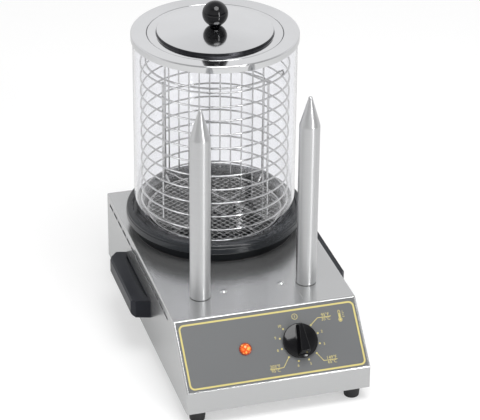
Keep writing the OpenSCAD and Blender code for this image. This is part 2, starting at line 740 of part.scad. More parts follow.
bulb_r = 3.2;
bulb_z = spreader_z + 14;
bulb_side = well_r + bowl_wall + bulb_r + 0.4;

module thermostat_bulb() color("peru") at_jar() rotate([0, 0, -118])
    translate([bulb_side, 0, bulb_z - 16]) cylinder(r = bulb_r, h = 34, $fn = 32);

module capillary_path() {
    start = on_slope_point(control_x, control_v - 10, -sheet_t - bush_deep - body_deep - 0.2);
    finish = [bulb_side * cos(-118), jar_y + bulb_side * sin(-118), bulb_z - 16.3];
    low = floor_z + 2 * sheet_t + 12;
    points = [start, [start[0], start[1] + 12, low + 8], [start[0] - 8, start[1] + 30, low],
        [finish[0] - 2, finish[1] - 20, low], [finish[0], finish[1], low + 4],
        finish];
    for (i = [0:len(points) - 2]) rod(points[i], points[i + 1], 1.6);
    for (i = [1:len(points) - 2]) translate(points[i]) sphere(d = 2, $fn = 32);
}

module thermostat_capillary() color("peru") capillary_path($fn = 32);

// ---------------------------------------------------------------- pilot lamp

module lamp_lens() color("orange") on_slope(-control_x, control_v, panel_t) rotate_extrude($fn = 48)
    polygon([[0, 0], [lamp_r, 0], [lamp_r, 1.2], [lamp_r - 1, 2.2], [lamp_r - 2.2, 4.4], [0, 5.4]]);

module lamp_body() color("white") on_slope(-control_x, control_v, panel_t) mirror([0, 0, 1]) {
    cylinder(r = lamp_neck_r, h = 24);
    for (s = [-1, 1]) translate([s * 3 - 1.5, -0.4, 24 - eps]) cube([3, 0.8, 8]);
}

module lamp_nut() color("black") on_slope(-control_x, control_v, -sheet_t - 4)
    hex_nut(2 * lamp_neck_r + 5, lamp_neck_r + 0.05, 4);

// ---------------------------------------------------------------- wiring parts

bracket_z = top_z - sheet_t - 26;

module terminal_bracket() color("silver") difference() {
    union() {
        translate([-rivet_x - 8, rivet_y - 8, top_z - 2 * sheet_t])
            cube([2 * rivet_x + 16, 16, sheet_t]);
        translate([-rivet_x - 8 + 16, rivet_y + 8 - sheet_t, bracket_z])
            cube([2 * rivet_x - 16, sheet_t, top_z - sheet_t - bracket_z]);
    }
    both_sides() translate([rivet_x, rivet_y, top_z - 5]) cylinder(r = rivet_r + 0.1, h = 10);
}

module bracket_rivets() color("silver") both_sides() translate([rivet_x, rivet_y, top_z]) {
    rotate_extrude() polygon(concat([[0, 0], [4.4, 0]], arc(0, -3.1, 5.4, 38, 90, 6)));
    translate([0, 0, -2 * sheet_t - 1]) cylinder(r = rivet_r, h = 2 * sheet_t + 1 + eps);
    translate([0, 0, -2 * sheet_t - 2.2]) cylinder(r = 3.2, h = 2.2);
}

module terminal_block() color("white") difference() {
    translate([-22, rivet_y + 8, bracket_z + 2]) cube([44, 14, 16]);
    for (i = [0:3]) translate([-16.5 + i * 11, rivet_y + 15, bracket_z + 8])
        cylinder(r = 2.4, h = 12);
}

module safety_cutout() color("black") at_jar() rotate([0, 0, -62])
    translate([well_r + bowl_wall + 0.3, -8, bulb_z - 8]) cube([10, 16, 16]);

gland_x = 70;
gland_z = floor_z + 26;
gland_r = 8;

module cable_gland() color("black") translate([gland_x, back_y + rear_out, gland_z])
    rotate([90, 0, 0]) difference() {
        union() {
            cylinder(r = gland_r + 4, h = rear_out);
            cylinder(r = gland_r, h = rear_out + sheet_t + 9);
        }
        translate([0, 0, -1]) cylinder(r = 4, h = 30);
    }

module gland_nut() color("black") translate([gland_x, back_y - sheet_t, gland_z])
    rotate([90, 0, 0]) hex_nut(24, gland_r + 0.05, 5);

// sleeved leads: a straight run inside from the gland, then across to the terminals
module wiring() color("red") {
    turn = [gland_x, rivet_y + 34, gland_z];
    translate([gland_x, turn[1], gland_z]) rotate([-90, 0, 0])
        cylinder(d = 6, h = back_y - sheet_t - 9.3 - turn[1], $fn = 32);
    rod(turn + [-1, 0, 0.4], [20, rivet_y + 27, bracket_z + 10], 5.4, $fn = 32);
}

// ---------------------------------------------------------------- fasteners

module rear_screws() color("silver") rear_screw_spots() rotate([90, 0, 0]) {
    translate([0, 0, -sheet_t]) cylinder(r = screw_r, h = 8, $fn = 32);
    translate([0, 0, -sheet_t - 2]) cylinder(r = 3.6, h = 2, $fn = 32);
}

module base_screws() color("silver") base_screw_spots() {
    translate([0, 0, -sheet_t]) cylinder(r = screw_r, h = 9, $fn = 32);
    translate([0, 0, -sheet_t - 2]) cylinder(r = 3.6, h = 2, $fn = 32);
}

casing();
rear_panel();
base_plate();
control_panel();
bowl();
bowl_gasket();
bowl_retaining_ring();
heat_spreader();
heating_element();
heater_clamp();
heater_nut();
glass_cylinder();
lid_shell();
lid_knob();
lid_gasket();
lid_screw();
basket_rings();
basket_uprights();
basket_partition();
basket_floor();
basket_floor_ring();
basket_floor_wires();
basket_lugs();
basket_bail();
spike_left();
spike_right();
spike_heater_left();
spike_heater_right();
spike_nuts();
spike_gaskets();
handle_left();
handle_right();
handle_screws();
foot_front_left();
foot_front_right();
foot_rear_left();
foot_rear_right();
foot_screws();
foot_nuts();
thermostat_body();
thermostat_bush();
thermostat_nut();
thermostat_spindle();
thermostat_capillary();
thermostat_bulb();
control_knob();
lamp_lens();
lamp_body();
lamp_nut();
terminal_block();
terminal_bracket();
bracket_rivets();
safety_cutout();
cable_gland();
gland_nut();
rear_screws();
base_screws();
wiring();
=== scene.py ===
import math

import bmesh
import bpy
from mathutils import Matrix, Vector


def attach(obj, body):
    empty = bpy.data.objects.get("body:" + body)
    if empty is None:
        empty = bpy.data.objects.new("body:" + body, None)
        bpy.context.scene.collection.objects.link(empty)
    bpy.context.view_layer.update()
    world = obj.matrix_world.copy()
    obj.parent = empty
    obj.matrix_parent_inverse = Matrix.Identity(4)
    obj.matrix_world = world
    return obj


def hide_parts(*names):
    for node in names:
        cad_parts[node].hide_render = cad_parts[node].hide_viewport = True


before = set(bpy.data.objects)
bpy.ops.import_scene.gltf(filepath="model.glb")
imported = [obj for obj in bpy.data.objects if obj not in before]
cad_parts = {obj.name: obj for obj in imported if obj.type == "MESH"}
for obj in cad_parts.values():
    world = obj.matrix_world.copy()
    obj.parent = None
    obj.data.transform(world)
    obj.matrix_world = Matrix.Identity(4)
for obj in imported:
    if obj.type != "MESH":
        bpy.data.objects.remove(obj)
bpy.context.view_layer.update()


# Camera: stands left of the middle and looks down on the control side from
# about three metres, through a long lens.
turn, rise, roll, reach = -0.28990, 0.50265, 0.0096, 2.86829
look_at = Vector((0.03347, 0.0848, 0.11979))
back = Vector((
    math.sin(turn) * math.cos(rise),
    -math.cos(turn) * math.cos(rise),
    math.sin(rise)))
right = Vector((math.cos(turn), math.sin(turn), 0))
up = back.cross(right)
right_rolled = right * math.cos(roll) + up * math.sin(roll)
up_rolled = up * math.cos(roll) - right * math.sin(roll)
camera = bpy.data.objects.new("camera", bpy.data.cameras.new("camera"))
bpy.context.scene.collection.objects.link(camera)
camera.data.sensor_width = 36
camera.data.lens = 170.54
camera.data.clip_end = 30
camera.matrix_world = Matrix.Translation(look_at + reach * back) @ Matrix(
    (right_rolled, up_rolled, back)).transposed().to_4x4()
bpy.context.scene.camera = camera
bpy.context.scene.view_settings.view_transform = "Standard"


# Counter top and room: a white floor that keeps the object's shadow, white air
# round it, a broad soft light overhead, a tall strip and a weak fill.
def stage_shader(name, level, mirrored_level, shade):
    made = bpy.data.materials.new(name)
    made.use_nodes = True
    nodes, links = made.node_tree.nodes, made.node_tree.links
    nodes.remove(nodes["Principled BSDF"])
    out = nodes["Material Output"]
    matt = nodes.new("ShaderNodeBsdfDiffuse")
    matt.inputs["Color"].default_value = (shade, shade, shade, 1)
    rays = nodes.new("ShaderNodeLightPath")
    in_metal = nodes.new("ShaderNodeMath")
    in_metal.operation = "SUBTRACT"
    in_metal.use_clamp = True
    links.new(rays.outputs["Is Glossy Ray"], in_metal.inputs[0])
    links.new(rays.outputs["Is Transmission Ray"], in_metal.inputs[1])
    strength = nodes.new("ShaderNodeMapRange")
    strength.inputs["To Min"].default_value = level
    strength.inputs["To Max"].default_value = mirrored_level
    links.new(in_metal.outputs[0], strength.inputs["Value"])
    glow = nodes.new("ShaderNodeEmission")
    links.new(strength.outputs[0], glow.inputs["Strength"])
    both = nodes.new("ShaderNodeAddShader")
    links.new(matt.outputs[0], both.inputs[0])
    links.new(glow.outputs[0], both.inputs[1])
    links.new(both.outputs[0], out.inputs["Surface"])
    return made


bpy.ops.mesh.primitive_plane_add(size=14, location=(0, 0, -0.0002))
counter = bpy.context.object
counter.name = "counter"
counter.data.materials.append(stage_shader("counter_white", 0.42, 0.18, 0.62))

room = bpy.data.worlds.new("room")
bpy.context.scene.world = room
room.use_nodes = True
air, joins = room.node_tree.nodes, room.node_tree.links
rays = air.new("ShaderNodeLightPath")
direction = air.new("ShaderNodeTexCoord")
split = air.new("ShaderNodeSeparateXYZ")
joins.new(direction.outputs["Generated"], split.inputs[0])


def height_shades(stops):
    ramp = air.new("ShaderNodeValToRGB")
    ramp.color_ramp.elements[0].position = stops[0][0]
    ramp.color_ramp.elements[1].position = stops[-1][0]
    for height, shade in stops[1:-1]:
        ramp.color_ramp.elements.new(height)
    for stop, (height, shade) in zip(ramp.color_ramp.elements, stops):
        stop.color = (shade, shade, shade * 1.01, 1)
    joins.new(split.outputs["Z"], ramp.inputs["Fac"])
    return ramp


# shade by height in a mirrored ray: a pale wall behind the object, and a dark
# counter front and a window before it
behind = height_shades(((0.0, 0.92), (0.45, 0.93), (0.70, 0.70), (0.84, 0.55), (0.97, 0.60)))
before = height_shades((
    (0.0, 0.05), (0.06, 0.07), (0.12, 0.60), (0.55, 0.60), (0.80, 0.25), (0.97, 0.60)))
mirrored = air.new("ShaderNodeMix")
mirrored.data_type = "RGBA"
facing = air.new("ShaderNodeMapRange")
facing.inputs["From Min"].default_value = -0.30
facing.inputs["From Max"].default_value = 0.10
joins.new(split.outputs["Y"], facing.inputs["Value"])
joins.new(facing.outputs[0], mirrored.inputs[0])
joins.new(before.outputs["Color"], mirrored.inputs[6])
joins.new(behind.outputs["Color"], mirrored.inputs[7])
ambient = air.new("ShaderNodeMix")
ambient.data_type = "RGBA"
ambient.inputs[6].default_value = (0.62, 0.62, 0.62, 1)
joins.new(rays.outputs["Is Glossy Ray"], ambient.inputs[0])
joins.new(mirrored.outputs[2], ambient.inputs[7])
seen = air.new("ShaderNodeMath")
seen.operation = "MAXIMUM"
joins.new(rays.outputs["Is Camera Ray"], seen.inputs[0])
joins.new(rays.outputs["Is Transmission Ray"], seen.inputs[1])
shown = air.new("ShaderNodeMix")
shown.data_type = "RGBA"
shown.inputs[7].default_value = (1, 1, 1, 1)
joins.new(seen.outputs[0], shown.inputs[0])
joins.new(ambient.outputs[2], shown.inputs[6])
joins.new(shown.outputs[2], air["Background"].inputs["Color"])
air["Background"].inputs["Strength"].default_value = 1.0


def soft_light(name, place, aim, width, height, watts, mirrored, shape="RECTANGLE"):
    lamp = bpy.data.lights.new(name, "AREA")
    lamp.shape = shape
    lamp.size, lamp.size_y, lamp.energy = width, height, watts
    stand = bpy.data.objects.new(name, lamp)
    bpy.context.scene.collection.objects.link(stand)
    stand.location = place
    stand.visible_camera = False
    stand.visible_glossy = mirrored
    stand.rotation_euler = (Vector(aim) - Vector(place)).to_track_quat("-Z", "Y").to_euler()
    return stand


soft_light("softbox_overhead", (0.15, -0.65, 2.10), (0, 0, 0.1), 1.25, 1.25, 22, True, "ELLIPSE")
soft_light("strip_right", (0.85, -2.20, 0.85), (0, 0, 0.85), 0.20, 1.6, 14, True)
soft_light("fill_left", (-1.9, -0.7, 0.8), (0, 0, 0.2), 0.9, 1.4, 10, False)


# Casing: one folded sheet of brushed stainless for top, control slope, skirt and
# sides, with small bend radii, air slots high in both sides and a round bowl hole.
def grained(name, colour, other, metal, rough, rougher, grain, height, patch=9.0, **constants):
    made = bpy.data.materials.new(name)
    made.use_nodes = True
    nodes, links = made.node_tree.nodes, made.node_tree.links
    shader = nodes["Principled BSDF"]
    shader.inputs["Metallic"].default_value = metal
    for socket, value in constants.items():
        shader.inputs[socket.replace("_", " ")].default_value = value
    where = nodes.new("ShaderNodeTexCoord")
    stretch = nodes.new("ShaderNodeMapping")
    stretch.inputs["Scale"].default_value = grain
    links.new(where.outputs["Object"], stretch.inputs["Vector"])
    fine = nodes.new("ShaderNodeTexNoise")
    fine.inputs["Scale"].default_value = 1.0
    fine.inputs["Detail"].default_value = 3.0
    links.new(stretch.outputs[0], fine.inputs["Vector"])
    broad = nodes.new("ShaderNodeTexNoise")
    broad.inputs["Scale"].default_value = patch
    broad.inputs["Detail"].default_value = 2.0
    links.new(where.outputs["Object"], broad.inputs["Vector"])
    together = nodes.new("ShaderNodeMath")
    together.operation = "MULTIPLY_ADD"
    together.inputs[1].default_value = 0.6
    links.new(fine.outputs[0], together.inputs[0])
    part = nodes.new("ShaderNodeMath")
    part.operation = "MULTIPLY"
    part.inputs[1].default_value = 0.4
    links.new(broad.outputs[0], part.inputs[0])
    links.new(part.outputs[0], together.inputs[2])
    tint = nodes.new("ShaderNodeValToRGB")
    tint.color_ramp.elements[0].position = 0.35
    tint.color_ramp.elements[0].color = (*other, 1)
    tint.color_ramp.elements[1].position = 0.65
    tint.color_ramp.elements[1].color = (*colour, 1)
    links.new(together.outputs[0], tint.inputs["Fac"])
    links.new(tint.outputs["Color"], shader.inputs["Base Color"])
    sheen = nodes.new("ShaderNodeMapRange")
    sheen.inputs["From Min"].default_value = 0.3
    sheen.inputs["From Max"].default_value = 0.7
    sheen.inputs["To Min"].default_value = rough
    sheen.inputs["To Max"].default_value = rougher
    links.new(together.outputs[0], sheen.inputs["Value"])
    links.new(sheen.outputs[0], shader.inputs["Roughness"])
    if height:
        relief = nodes.new("ShaderNodeBump")
        relief.inputs["Strength"].default_value = 0.5
        relief.inputs["Distance"].default_value = height
        links.new(fine.outputs[0], relief.inputs["Height"])
        links.new(relief.outputs[0], shader.inputs["Normal"])
    return made


def piece(name, shape, finish, body, stands_for=(), smooth=0.6, wall=0.0):
    mesh = bpy.data.meshes.new(name)
    shape.to_mesh(mesh)
    shape.free()
    made = bpy.data.objects.new(name, mesh)
    bpy.context.scene.collection.objects.link(made)
    mesh.materials.append(finish)
    if wall:
        sheet = made.modifiers.new("wall", "SOLIDIFY")
        sheet.thickness = wall
        sheet.offset = -1
        sheet.use_even_offset = True
    if smooth:
        mesh.shade_smooth()
        mesh.set_sharp_from_angle(angle=smooth)
        flat = made.modifiers.new("flat_faces_stay_flat", "WEIGHTED_NORMAL")
        flat.keep_sharp = True
    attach(made, body)
    if stands_for:
        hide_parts(*stands_for)
    return made


stainless = grained("brushed_stainless", (0.56, 0.565, 0.565), (0.548, 0.552, 0.555), 0.85,
    0.25, 0.275, (700, 30, 700), 0.0, 5.0)
half_w, front_y, back_y = 0.1125, -0.197, 0.194
floor_z, top_z, skirt_z, fold_y = 0.018, 0.108, 0.0465, -0.1345
jar_y = 0.0848
sheet, fold_bend, bowl_hole_r = 0.0012, 0.0016, 0.099
outline = [(back_y, floor_z), (back_y, top_z), (fold_y, top_z), (front_y, skirt_z),
    (front_y, floor_z)]
shell = bmesh.new()
side = shell.faces.new([shell.verts.new((-half_w, y, z)) for y, z in outline])
grown = bmesh.ops.extrude_face_region(shell, geom=[side])
bmesh.ops.translate(shell, vec=(2 * half_w, 0, 0),
    verts=[v for v in grown["geom"] if isinstance(v, bmesh.types.BMVert)])
bmesh.ops.recalc_face_normals(shell, faces=shell.faces[:])
folds = [e for e in shell.edges if not all(v.co.z < floor_z + 0.001 for v in e.verts)
    and not all(v.co.y > back_y - 0.001 for v in e.verts)]
bmesh.ops.bevel(shell, geom=folds, offset=fold_bend, offset_type="OFFSET", segments=4, profile=0.5,
    affect="EDGES", material=-1, clamp_overlap=True)
bmesh.ops.delete(shell, context="FACES_ONLY",
    geom=[f for f in shell.faces if f.normal.z < -0.9 or f.normal.y > 0.9])


def slice_wall(wall, point, normal):
    edges, corners = {e for f in wall for e in f.edges}, {v for f in wall for v in f.verts}
    parts = wall + list(edges) + list(corners)
    bmesh.ops.bisect_plane(shell, geom=parts, plane_co=point, plane_no=normal)


slot_low, slot_high = 0.0955, 0.0997
slot_count, slot_len, slot_pitch = 13, 0.01909, 0.02279
slots = []
for row in range(slot_count):
    high = back_y - 0.012 - row * slot_pitch
    slots.append((high - slot_len, high))
for sign in (-1, 1):
    for height in (slot_low, slot_high):
        slice_wall([f for f in shell.faces if f.normal.x * sign > 0.99], (0, 0, height), (0, 0, 1))
    for low, high in slots:
        for y in (low, high):
            slice_wall([f for f in shell.faces if f.normal.x * sign > 0.99
                and slot_low < f.calc_center_median().z < slot_high], (0, y, 0), (0, 1, 0))
gaps = [f for f in shell.faces if abs(f.normal.x) > 0.99
    and slot_low < f.calc_center_median().z < slot_high
    and any(low < f.calc_center_median().y < high for low, high in slots)]
bmesh.ops.delete(shell, context="FACES_ONLY", geom=gaps)
top = max((f for f in shell.faces if f.normal.z > 0.99), key=lambda f: f.calc_area())
rim = top.edges[:]
bmesh.ops.delete(shell, context="FACES_ONLY", geom=[top])
hole = bmesh.ops.create_circle(shell, segments=96, radius=bowl_hole_r,
    matrix=Matrix.Translation((0, jar_y, top_z)))
hole_edges = list({e for v in hole["verts"] for e in v.link_edges})
bmesh.ops.triangle_fill(shell, edges=rim + hole_edges, use_beauty=True, normal=(0, 0, 1))
bmesh.ops.recalc_face_normals(shell, faces=shell.faces[:])
piece("folded_casing", shell, stainless, "base", ["casing"], wall=sheet)


# Rear panel and base plate: flat brushed sheets set inside the casing's open
# rear and underside, each held by screws into turned-in flanges.
plate = grained("plate_stainless", (0.52, 0.525, 0.53), (0.46, 0.465, 0.47), 1.0, 0.28, 0.4,
    (14, 900, 900), 0.00001)
zinc = grained("zinc_plate", (0.60, 0.61, 0.63), (0.5, 0.51, 0.52), 1.0, 0.25, 0.4,
    (700, 700, 700), 0.000006)


def dress(node, finish, smooth=0.5):
    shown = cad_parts[node]
    shown.data.materials.clear()
    shown.data.materials.append(finish)
    if smooth:
        shown.data.shade_smooth()
        shown.data.set_sharp_from_angle(angle=smooth)
    return shown


for name in ("rear_panel", "base_plate"):
    dress(name, plate)
for name in ("rear_screws", "base_screws", "handle_screws", "foot_screws", "foot_nuts",
        "bowl_retaining_ring", "heater_clamp", "heater_nut", "spike_nuts", "thermostat_nut",
        "thermostat_spindle", "terminal_bracket", "lid_screw"):
    dress(name, zinc)


# Rivets: two low domed and polished heads between the spikes, which hold the
# terminal bracket under the top plate.
polished = grained("polished_stainless", (0.70, 0.705, 0.71), (0.66, 0.665, 0.67), 1.0, 0.05, 0.11,
    (60, 60, 60), 0.0)
dress("bracket_rivets", polished)


# Rubber feet: turned moulded rubber, wider at the shoulder, with a hollow
# underside for the screw that holds each one to the base plate.
def spun(profile, centre, steps=96, closed=False):
    shape = bmesh.new()
    verts = [shape.verts.new((centre[0] + r, centre[1], z)) for r, z in profile]
    edges = [shape.edges.new(pair) for pair in zip(verts, verts[1:])]
    if closed:
        edges.append(shape.edges.new((verts[-1], verts[0])))
    bmesh.ops.spin(shape, geom=verts + edges, cent=(centre[0], centre[1], 0), axis=(0, 0, 1),
        dvec=(0, 0, 0), angle=2 * math.pi, steps=steps, use_merge=True, use_duplicate=False)
    bmesh.ops.remove_doubles(shape, verts=shape.verts[:], dist=1e-6)
    bmesh.ops.recalc_face_normals(shape, faces=shape.faces[:])
    return shape


def bend(cr, cz, r, start, end, steps=6):
    angles = [math.radians(start + (end - start) * i / steps) for i in range(steps + 1)]
    return [(cr + r * math.cos(a), cz + r * math.sin(a)) for a in angles]


rubber = grained("foot_rubber", (0.018, 0.018, 0.019), (0.010, 0.010, 0.011), 0.0, 0.5, 0.7,
    (1500, 1500, 1500), 0.00002)
foot_x, foot_front_y, foot_rear_y = 0.0955, -0.18, 0.177
for where, x, y in (("front_left", -foot_x, foot_front_y), ("front_right", foot_x, foot_front_y),
        ("rear_left", -foot_x, foot_rear_y), ("rear_right", foot_x, foot_rear_y)):
    profile = ([(0, 0.011), (0.0042, 0.011), (0.0042, 0.0006), (0.005, 0), (0.0072, 0)]
        + bend(0.0078, 0.0014, 0.0014, -90, -10) + [(0.0103, 0.0152)]
        + bend(0.0092, 0.0167, 0.0013, 0, 90, 5) + [(0, 0.018)])
    piece("rubber_foot_" + where, spun(profile, (x, y), 40), rubber, "base",
        ["foot_" + where])


# Control panel: a thin grey lacquered plate on the slope, with a printed yellow
# line round it, a dial of dots and plain numbers, and two small signs.
panel_grey = grained("panel_grey", (0.132, 0.136, 0.139), (0.125, 0.129, 0.132), 0.0, 0.36, 0.46,
    (1200, 1200, 1200), 0.000004, Specular_IOR_Level=0.35)
dress("control_panel", panel_grey)
ink_yellow = grained("ink_yellow", (0.62, 0.53, 0.19), (0.56, 0.48, 0.165), 0.0, 0.45, 0.55,
    (1500, 1500, 1500), 0.000002)
slope_tilt = math.atan2(top_z - skirt_z, fold_y - front_y)
slope_len = math.hypot(top_z - skirt_z, fold_y - front_y)
on_slope = Matrix.Translation((0, front_y, skirt_z)) @ Matrix.Rotation(slope_tilt, 4, "X")
dial = (0.0335, slope_len - 0.0448)
ink_z = 0.00088


def stroke(shape, points, width, closed=False):
    # a flat ribbon of ink along a path of points on the panel
    count = len(points)
    rows = []
    for i, (x, y) in enumerate(points):
        before = Vector(points[i - 1]) if closed or i else None
        after = Vector(points[(i + 1) % count]) if closed or i < count - 1 else None
        here = Vector((x, y))
        first = (here - before).normalized() if before is not None else (after - here).normalized()
        second = (after - here).normalized() if after is not None else first
        across = Vector((-(first + second).y, (first + second).x)).normalized()
        across *= width / 2 / max(0.5, across.dot(Vector((-first.y, first.x))))
        rows.append([shape.verts.new((*(here + side * across), ink_z)) for side in (1, -1)])
    made = []
    for i in range(count if closed else count - 1):
        a, b = rows[i], rows[(i + 1) % count]
        made.append(shape.faces.new((a[0], a[1], b[1], b[0])))
    return made


def dot(shape, x, y, size):
    bmesh.ops.create_circle(shape, cap_ends=True, segments=20, radius=size / 2,
        matrix=Matrix.Translation((x, y, ink_z)))


def on_dial(clock, distance):
    angle = math.radians(90 - clock)
    return (dial[0] + distance * math.cos(angle), dial[1] + distance * math.sin(angle))


print_shape = bmesh.new()
edge_x, low, high, corner = 0.1068, slope_len - 0.0833, slope_len - 0.0065, 0.0055
border = []
for side, y, start in ((1, high - corner, 0), (-1, high - corner, 90), (-1, low + corner, 180),
        (1, low + corner, 270)):
    border += bend(side * (edge_x - corner), y, corner, start, start + 90, 8)
stroke(print_shape, border, 0.0021, closed=True)
mark_r, line_w, tail_len = 0.0243, 0.0007, 0.0168
marks = [45 + 30 * i for i in range(10)]
for clock in marks:
    dot(print_shape, *on_dial(clock, mark_r), 0.0023)
# the three marks with a temperature: clock angle, knee's angle and distance, side
warm_marks = {
    "95\u00b0F 35\u00b0C": (45, 47.5, 0.0364, 1),
    "149\u00b0F 65\u00b0C": (135, 139, 0.0364, 1),
    "203\u00b0F 95\u00b0C": (225, 222, 0.0385, -1)}
for clock, knee_clock, out, side in warm_marks.values():
    knee = on_dial(knee_clock, out)
    tail = (knee[0] + side * tail_len, knee[1])
    stroke(print_shape, [on_dial(clock, mark_r), knee, tail], line_w)
sign_x, sign_y, sign_r, thin_w = dial[0] - 0.0004, dial[1] + 0.0301, 0.0033, 0.0006
stroke(print_shape, bend(sign_x, sign_y, sign_r, 0, 345, 23), thin_w, closed=True)
stroke(print_shape, [(sign_x, sign_y + 0.0017), (sign_x, sign_y - 0.0014)], thin_w)
stem_x, stem_y = 0.0878, slope_len - 0.0215
stem = [(stem_x + x / 1000, stem_y + y / 1000) for x, y in ((-1.1, 6), (-1.1, -2.6), (-2.2, -4.2),
    (-1.6, -6.4), (0, -7.2), (1.6, -6.4), (2.2, -4.2), (1.1, -2.6), (1.1, 6), (0, 6.9))]
stroke(print_shape, stem, thin_w, closed=True)
stroke(print_shape, [(stem_x, stem_y + 0.003), (stem_x, stem_y - 0.0047)], 0.0011)
dot(print_shape, stem_x, stem_y - 0.0047, 0.0028)
for i in range(4):
    x, y = stem_x + 0.0034, stem_y + 0.005 - 0.0022 * i
    stroke(print_shape, [(x, y), (x + (0.0026 if i % 2 else 0.0016), y)], 0.0005)


def number(text, x, y, height):
    words = bpy.data.curves.new("number", "FONT")
    words.body, words.size = text, height * 1.4
    words.align_x, words.align_y = "CENTER", "CENTER"
    words.resolution_u = 3
    holder = bpy.data.objects.new("number", words)
    bpy.context.scene.collection.objects.link(holder)
    bpy.context.view_layer.update()
    depsgraph = bpy.context.evaluated_depsgraph_get()
    flat = bpy.data.meshes.new_from_object(holder.evaluated_get(depsgraph))
    bpy.data.objects.remove(holder)
    flat.transform(Matrix.Translation((x, y, ink_z)))
    print_shape.from_mesh(flat)


for count, clock in enumerate(marks, 1):
    if count not in (1, 4, 7):
        number(str(count), *on_dial(clock, mark_r + 0.0054), 0.0033)
for pair, (clock, knee_clock, out, side) in warm_marks.items():
    x, y = on_dial(knee_clock, out)
    for text, lift in zip(pair.split(), (0.0026, -0.0026)):
        number(text, x + side * 0.0100, y + lift, 0.0038)
bmesh.ops.remove_doubles(print_shape, verts=print_shape.verts[:], dist=1e-7)
bmesh.ops.recalc_face_normals(print_shape, faces=print_shape.faces[:])
bmesh.ops.reverse_faces(print_shape, faces=[f for f in print_shape.faces if f.normal.z < 0])
bmesh.ops.transform(print_shape, matrix=on_slope, verts=print_shape.verts[:])
piece("panel_print", print_shape, ink_yellow, "base", smooth=0, wall=0.00006)


# Pilot lamp: a faceted amber plastic lens, lit from behind, snapped into a
# thin darker collar left of the dial.
amber = grained("lit_amber", (1.0, 0.42, 0.06), (0.9, 0.22, 0.02), 0.0, 0.06, 0.14,
    (420, 420, 420), 0.0, Emission_Strength=0.42)
web, strands = amber.node_tree.nodes, amber.node_tree.links
facets = web.new("ShaderNodeTexVoronoi")
facets.feature = "DISTANCE_TO_EDGE"
facets.inputs["Scale"].default_value = 150
strands.new(web["Texture Coordinate"].outputs["Object"], facets.inputs["Vector"])
glow_tone = web.new("ShaderNodeValToRGB")
glow_tone.color_ramp.elements[0].position = 0.03
glow_tone.color_ramp.elements[0].color = (0.55, 0.05, 0.004, 1)
glow_tone.color_ramp.elements[1].position = 0.30
glow_tone.color_ramp.elements[1].color = (1.0, 0.46, 0.09, 1)
strands.new(facets.outputs["Distance"], glow_tone.inputs["Fac"])
strands.new(glow_tone.outputs["Color"], web["Principled BSDF"].inputs["Base Color"])
strands.new(glow_tone.outputs["Color"], web["Principled BSDF"].inputs["Emission Color"])
collar_red = grained("lamp_collar", (0.30, 0.05, 0.02), (0.2, 0.03, 0.015), 0.0, 0.2, 0.35,
    (900, 900, 900), 0.00001)
on_lamp = on_slope @ Matrix.Translation((-dial[0], dial[1], 0.0008))
lens = bmesh.new()
bmesh.ops.create_icosphere(lens, subdivisions=2, radius=0.0066)
bmesh.ops.bisect_plane(lens, geom=lens.verts[:] + lens.edges[:] + lens.faces[:], plane_co=(0, 0, 0),
    plane_no=(0, 0, -1), clear_outer=True)
bmesh.ops.contextual_create(lens, geom=[e for e in lens.edges if e.is_boundary])
bmesh.ops.scale(lens, vec=(1, 1, 0.62), verts=lens.verts[:])
bmesh.ops.translate(lens, vec=(0, 0, 0.0012), verts=lens.verts[:])
bmesh.ops.recalc_face_normals(lens, faces=lens.faces[:])
bmesh.ops.transform(lens, matrix=on_lamp, verts=lens.verts[:])
piece("lamp_lens_facets", lens, amber, "base", ["lamp_lens"], smooth=0.2)
collar = spun([(0.0052, 0), (0.0076, 0)] + bend(0.0070, 0.0010, 0.0006, 0, 90, 4)
    + [(0.0064, 0.0014), (0.0052, 0.0012)], (0, 0), 48, closed=True)
bmesh.ops.transform(collar, matrix=on_lamp, verts=collar.verts[:])
piece("lamp_collar", collar, collar_red, "base")


# Thermostat knob: a glossy black moulded disc with a raised grip that narrows
# towards the mark; it turns on the spindle.
gloss_black = grained("gloss_black", (0.004, 0.004, 0.005), (0.003, 0.003, 0.004), 0.0, 0.05, 0.10,
    (500, 500, 500), 0.0, Specular_IOR_Level=0.4)
knob_r = 0.021
knob = spun([(0, 0), (knob_r - 0.0006, 0)] + bend(knob_r - 0.0006, 0.0006, 0.0006, -90, 0, 3)
    + bend(knob_r - 0.0014, 0.0032, 0.0014, 0, 70, 5)
    + [(knob_r * i / 12, 0.0062 - 0.0015 * (i / 12) ** 2) for i in range(10, -1, -1)], (0, 0), 96)
grip = bmesh.new()
foot_line = [(-0.0027, knob_r - 0.0017), (0.0027, knob_r - 0.0017), (0.0072, 0.0027 - knob_r),
    (-0.0072, 0.0027 - knob_r)]
grip_foot, grip_rise, grip_edge = 0.0036, 0.0158, 0.0011
base_face = grip.faces.new([grip.verts.new((x, y, grip_foot)) for x, y in foot_line])
raised = bmesh.ops.extrude_face_region(grip, geom=[base_face])
tops = [v for v in raised["geom"] if isinstance(v, bmesh.types.BMVert)]
bmesh.ops.translate(grip, vec=(0, 0, grip_rise), verts=tops)
bmesh.ops.scale(grip, vec=(0.8, 0.9, 1), verts=tops)
bmesh.ops.recalc_face_normals(grip, faces=grip.faces[:])
raised_edges = [e for e in grip.edges if max(v.co.z for v in e.verts) > grip_foot + 0.0004]
bmesh.ops.bevel(grip, geom=raised_edges, offset=grip_edge, offset_type="OFFSET", segments=4,
    profile=0.5, affect="EDGES", material=-1, clamp_overlap=True)
held = bpy.data.meshes.new("grip")
grip.to_mesh(held)
grip.free()
knob.from_mesh(held)
bmesh.ops.transform(knob, matrix=on_slope @ Matrix.Translation((dial[0], dial[1], 0.0014)),
    verts=knob.verts[:])
piece("thermostat_knob", knob, gloss_black, "knob", ["control_knob"], smooth=0.5)


